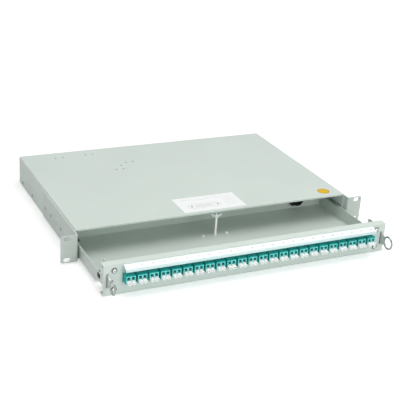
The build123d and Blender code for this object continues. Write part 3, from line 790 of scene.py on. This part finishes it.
def screw_mesh(head_radius, head_height, shank_radius, shank_length):
    """A screw with its recess; material 0 is its bright crown, 1 its seat and recess, which take a
    darker metal as painted shade.
    """
    rim = head_height * (1 - CROWN_HEIGHT_SHARE)
    crown = head_radius * CROWN_SHARE
    screw = screw_blank(head_radius, head_height, shank_radius, shank_length, rim, crown)
    arms = [cross_arm(head_radius, head_height, turn) for turn in (0, pi / 2)]
    for arm in arms:
        cut = screw.modifiers.new("cross", "BOOLEAN")
        cut.operation = "DIFFERENCE"
        cut.solver = "EXACT"
        cut.object = arm
    graph = bpy.context.evaluated_depsgraph_get()
    result = bpy.data.meshes.new_from_object(screw.evaluated_get(graph))
    for made in (screw, *arms):
        bpy.data.objects.remove(made)
    recess_floor = head_height * (1 - CROSS_DEPTH_SHARE)
    # The seat round the crown and the cross recess take material 1, the painted shade.
    for face in result.polygons:
        off_crown = face.center.xy.length > crown or face.center.z < rim
        in_recess = face.center.z < recess_floor * RECESS_SLACK or abs(face.normal.z) < WALL_SLOPE
        face.material_index = 1 if off_crown or in_recess else 0
    return result


def screw_set(node, axis_index, size, body, crown_metal, seat_metal):
    """Detailed screws in the places of a node's solids; heads point away from the middle."""
    boxes = islands(node)
    head_height = size["head_height"]
    whole_length = boxes[0][1][axis_index] - boxes[0][0][axis_index]
    mesh = screw_mesh(**size, shank_length=whole_length - head_height)
    bm = bmesh.new()
    for low, high in boxes:
        centre = (low + high) / 2
        outward = -1 if centre[axis_index] < 0 else 1
        axis = Vector((0, 0, 0))
        axis[axis_index] = outward
        seat = centre.copy()
        top = high[axis_index] if outward > 0 else low[axis_index]
        seat[axis_index] = top - outward * head_height
        turned = Matrix.Rotation(centre.z * CROSS_TURN, 4, "Z")
        add_copy(bm, mesh, axis_place(seat, axis) @ turned)
    screws = finish_mesh(bm, f"{node}_detailed", crown_metal, body, (node,))
    screws.data.materials.append(seat_metal)


# Cable rings


RING_EDGE = 0.15 * MM
RING_SLACK = 1.01


def ring_skin(side):
    """A cable ring of nickelled wire on a duller sheet tab, which lies outside the wire's circle."""
    low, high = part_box(f"cable_ring_{side}")
    radius = (high.z - low.z) / 2
    eye = Vector((0, low.y + radius, (low.z + high.z) / 2))
    ring = softened(f"cable_ring_{side}", RING_EDGE, RING_STEEL, "drawer")
    ring.data.materials.append(TAB_ZINC)
    for face in ring.data.polygons:
        away = Vector((0, face.center.y, face.center.z)) - eye
        face.material_index = 1 if away.length > radius * RING_SLACK else 0


# Locating pegs, stud and gland thread


PEG_SHOULDER_SHARE = 0.35
PEG_DOME_STEPS = 6
PEG_SEGMENTS = 36
STUD_BASE_HEIGHT = 1.0 * MM
STUD_BASE_EDGE_SHARE = 0.6
STUD_BASE_TOP_SHARE = 0.85
STUD_BASE_SEGMENTS = 32
STUD_RADIUS = 2.0 * MM
STUD_CORE_SHARE = 0.8
STUD_THREAD = {"radius": STUD_RADIUS, "depth": 0.28 * MM, "pitch": 0.7 * MM, "segments": 24, "rows": 5}
GLAND_THREAD = {"radius": 10.12 * MM, "depth": 0.3 * MM, "pitch": 1.5 * MM, "segments": 48, "rows": 6}


def domed_pegs():
    """The two locating pegs with domed heads."""
    bm = bmesh.new()
    for low, high in islands("splice_pegs"):
        centre = (low + high) / 2
        radius = (high.x - low.x) / 2
        height = high.z - low.z
        shoulder = height * PEG_SHOULDER_SHARE
        profile = [(0.0, 0.0), (radius, 0.0), (radius, shoulder)]
        profile += dome(radius, shoulder, height - shoulder, PEG_DOME_STEPS)
        add_lathe(bm, profile, (centre.x, centre.y, low.z), UP, PEG_SEGMENTS)
    face_outward(bm)
    finish_mesh(bm, "splice_pegs_domed", SATIN_ZINC, "drawer", ("splice_pegs",))


def threaded_stud():
    """The splice stud with its clinched base and a full-length thread."""
    low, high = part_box("splice_stud")
    centre = middle_of("splice_stud")
    base_radius = (high.x - low.x) / 2
    bm = bmesh.new()
    profile = [
        (0.0, 0.0),
        (base_radius, 0.0),
        (base_radius, STUD_BASE_HEIGHT * STUD_BASE_EDGE_SHARE),
        (base_radius * STUD_BASE_TOP_SHARE, STUD_BASE_HEIGHT),
        (STUD_RADIUS * STUD_CORE_SHARE, STUD_BASE_HEIGHT),
    ]
    add_lathe(bm, profile, (centre.x, centre.y, low.z), UP, STUD_BASE_SEGMENTS)
    start = low.z + STUD_BASE_HEIGHT
    place = Matrix.Translation((centre.x, centre.y, start))
    bottom, top = add_thread(bm, place, length=high.z - start, **STUD_THREAD)
    bm.faces.new(reversed(bottom))
    bm.faces.new(top)
    face_outward(bm)
    finish_mesh(bm, "splice_stud_threaded", SATIN_ZINC, "drawer", ("splice_stud",))


def gland_thread():
    """The thread that shows on the gland's inner end, in front of the locknut."""
    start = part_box("gland_body")[0].y
    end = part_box("gland_locknut")[0].y
    centre = middle_of("gland_locknut")
    along_y = Matrix(((1, 0, 0), (0, 0, 1), (0, 1, 0))).to_4x4()
    place = Matrix.Translation((centre.x, start, centre.z)) @ along_y
    bm = bmesh.new()
    add_thread(bm, place, length=end - start, **GLAND_THREAD)
    face_outward(bm)
    finish_mesh(bm, "gland_thread", NYLON, "drawer")


# Rivets of the corner posts


RIVET_RADIUS = 1.9 * MM
RIVET_HEIGHT = 0.7 * MM
RIVET_DOME_STEPS = 4
RIVET_SEGMENTS = 24
RIVET_ACROSS_SHARE = 0.42
RIVET_ALONG_SHARES = (0.4, 0.8)
POST_SHEET = 1.2 * MM


def post_rivets():
    """Two low rivet heads on the foot of each corner post."""
    profile = [(RIVET_RADIUS, 0.0)] + dome(RIVET_RADIUS, 0.0, RIVET_HEIGHT, RIVET_DOME_STEPS)
    bm = bmesh.new()
    for side in SIDES:
        low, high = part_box(f"corner_post_{side}")
        inner, outer = (high.x, low.x) if side == "left" else (low.x, high.x)
        x = inner + (outer - inner) * RIVET_ACROSS_SHARE
        for share in RIVET_ALONG_SHARES:
            y = low.y + (high.y - low.y) * share
            add_lathe(bm, profile, (x, y, low.z + POST_SHEET), UP, RIVET_SEGMENTS)
    face_outward(bm)
    finish_mesh(bm, "post_rivets", ZINC, "drawer")


# Raised rims round the ports, in a lighter aqua that paints the highlight on their edges


SOCKET_HALF = 2.39 * MM
SOCKET_RISE = 7.39 * MM
RIM_WIDTH = 0.68 * MM
RIM_LIFT = 0.15 * MM


def port_rims():
    """A thin raised frame round each port, on the front faces of the adapters, lighter than the
    adapters to paint the highlight along the ports' edges.
    """
    outer = SOCKET_HALF + RIM_WIDTH
    bars = (
        (-outer, -SOCKET_HALF, -outer, SOCKET_RISE),
        (SOCKET_HALF, outer, -outer, SOCKET_RISE),
        (-SOCKET_HALF, SOCKET_HALF, -outer, -SOCKET_HALF),
        (-outer, outer, SOCKET_RISE, SOCKET_RISE + RIM_WIDTH),
    )
    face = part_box(ADAPTERS[0])[0].y
    bm = bmesh.new()
    for bank in BANKS:
        for low, high in islands(f"dust_caps_{bank}"):
            port = (low + high) / 2
            for left, right, bottom, top in bars:
                front_low = (port.x + left, face - RIM_LIFT, port.z + bottom)
                add_box(bm, front_low, (port.x + right, face + RIM_LIFT, port.z + top))
    finish_mesh(bm, "port_rims", AQUA_PAINTED_HIGHLIGHT, "drawer")


# Printed matter


PRINT_LIFT = 0.03 * MM
NUMBER_SIZE = 3.4 * MM
DIVIDER_WIDTH = 0.18 * MM
DIVIDER_HALF_SHARE = 0.42
LINE_WIDTH = 0.5 * MM
BAR_WIDTH = 0.8 * MM
DOT_RADIUS = 1.5 * MM
DOT_SEGMENTS = 20
LOOP_CENTRE_SHARES = (0.40, 0.36)
LOOP_SIZE_SHARES = ((0.52, 0.3), (0.44, 0.17))
SHORT_LINE_SHARES = (0.74, 0.92)
SHORT_LINE_ROW_SHARES = (0.28, 0.40, 0.52, 0.64)
WAVE_PLACE_SHARES = (0.1, 0.8)
WAVE_SIZE_SHARES = (0.8, 0.05)
WAVE_CYCLES = 2
WAVE_STEPS = 40
DOT_SHARES = (0.19, 0.61)
BAR_SHARES = (0.25, 0.55)
STICKER_INSET = 0.9 * MM
STICKER_RIM_WIDTH = 0.45 * MM
STICKER_STEPS = 48


def label_face(node):
    """Centre, upward direction, normal and height of the insert's sloping outer face."""
    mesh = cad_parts[node].data
    sloping = [face for face in mesh.polygons if face.normal.y < 0 and face.normal.z > 0]
    outer = max(sloping, key=lambda face: round(face.area, 6))
    normal = outer.normal.normalized()
    up = normal.cross(RIGHT).normalized()
    if up.z < 0:
        up = -up
    points = [mesh.vertices[i].co for i in outer.vertices]
    rises = [point.dot(up) for point in points]
    middle = sum(points, Vector((0, 0, 0))) / len(points)
    middle += up * ((min(rises) + max(rises)) / 2 - middle.dot(up))
    middle.x = middle_of(node).x
    return middle, up, normal, max(rises) - min(rises)


def port_numbers():
    """Numbers and dividing lines on the insert, one field for each adapter."""
    middle, up, normal, height = label_face("label_insert")
    turn = Matrix((RIGHT, up, normal)).transposed().to_4x4()
    places = [middle_of(node).x for node in ADAPTERS]
    pitch = (places[-1] - places[0]) / (len(places) - 1)

    def on_label(x):
        """The matrix that lays a flat mesh on the insert."""
        return Matrix.Translation(Vector((x, middle.y, middle.z)) + normal * PRINT_LIFT) @ turn

    numbers = bmesh.new()
    for index, x in enumerate(places, start=1):
        add_copy(numbers, digits_mesh(str(index), NUMBER_SIZE), on_label(x))
    divider = bmesh.new()
    half = height * DIVIDER_HALF_SHARE
    add_ribbon(divider, [(0, -half), (0, half)], DIVIDER_WIDTH, 0)
    divider_mesh = to_mesh(divider, "divider")
    lines = bmesh.new()
    for x in places[:-1]:
        add_copy(lines, divider_mesh, on_label(x + pitch / 2))
    finish_mesh(numbers, "port_numbers", INK, "drawer")
    finish_mesh(lines, "port_dividers", PALE_INK, "drawer")


def label_artwork():
    """A faint plain pattern on the cover's label: loops, short lines, a wave and two dots."""
    low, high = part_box("top_label")
    size = high - low
    height = high.z + PRINT_LIFT

    def at(share_x, share_y):
        """The point at these shares of the label's width and depth."""
        return (low.x + size.x * share_x, low.y + size.y * share_y)

    pale = bmesh.new()
    for length_share, width_share in LOOP_SIZE_SHARES:
        loop = stadium(at(*LOOP_CENTRE_SHARES), size.x * length_share, size.y * width_share)
        add_ribbon(pale, loop, LINE_WIDTH, height, closed=True)
    for row_share in SHORT_LINE_ROW_SHARES:
        add_ribbon(pale, [at(share, row_share) for share in SHORT_LINE_SHARES], LINE_WIDTH, height)
    wave = []
    for step in range(WAVE_STEPS + 1):
        share = step / WAVE_STEPS
        swing = sin(2 * pi * WAVE_CYCLES * share)
        share_x = WAVE_PLACE_SHARES[0] + WAVE_SIZE_SHARES[0] * share
        wave.append(at(share_x, WAVE_PLACE_SHARES[1] + WAVE_SIZE_SHARES[1] * swing))
    add_ribbon(pale, wave, LINE_WIDTH, height)

    dark = bmesh.new()
    dark_height = height + PRINT_LIFT
    row_share = LOOP_CENTRE_SHARES[1]
    for share in DOT_SHARES:
        disc = bmesh.ops.create_circle(dark, cap_ends=True, segments=DOT_SEGMENTS, radius=DOT_RADIUS)
        bmesh.ops.translate(dark, verts=disc["verts"], vec=(*at(share, row_share), dark_height))
    add_ribbon(dark, [at(share, row_share) for share in BAR_SHARES], BAR_WIDTH, dark_height)
    finish_mesh(pale, "label_lines", PALE_INK, "housing")
    finish_mesh(dark, "label_marks", INK, "housing")


def sticker_rim():
    """A thin darker line round the blank sticker."""
    low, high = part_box("marker_sticker")
    radius = (high.x - low.x) / 2 - STICKER_INSET
    points = circle(middle_of("marker_sticker"), radius, STICKER_STEPS)
    bm = bmesh.new()
    add_ribbon(bm, points, STICKER_RIM_WIDTH, high.z + PRINT_LIFT, closed=True)
    finish_mesh(bm, "sticker_rim", AMBER_INK, "housing")


# Pieces that keep their own mesh


OWN_MESHES = {
    "top_label": PAPER,
    "marker_sticker": AMBER,
    "label_insert": PAPER,
    "gland_seal": RUBBER,
}


def paint_own_meshes():
    """Gives its material to each CAD node that is shown as it is."""
    for node, material in OWN_MESHES.items():
        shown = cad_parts[node]
        shown.data.materials.clear()
        shown.data.materials.append(material)


make_camera()
make_floor()
make_world()
for name, lamp in LAMPS.items():
    make_lamp(name, **lamp)
sheet_skins()
adapter_skins()
nut_skins()
for bank in BANKS:
    cap_bank(f"dust_caps_{bank}", f"cap_bank_{bank}")
screw_set("panel_screws", DEEP, PANEL_SCREW, "drawer", ZINC, ZINC_PAINTED_SHADE)
screw_set("ear_screws", ACROSS, SHEET_SCREW, "housing", DULL_ZINC, DULL_ZINC)
screw_set("housing_screws", ACROSS, SHEET_SCREW, "housing", DULL_ZINC, DULL_ZINC)
for side in SIDES:
    ring_skin(side)
domed_pegs()
threaded_stud()
gland_thread()
post_rivets()
port_rims()
port_numbers()
label_artwork()
sticker_rim()
paint_own_meshes()

bpy.context.scene.view_settings.view_transform = "Standard"
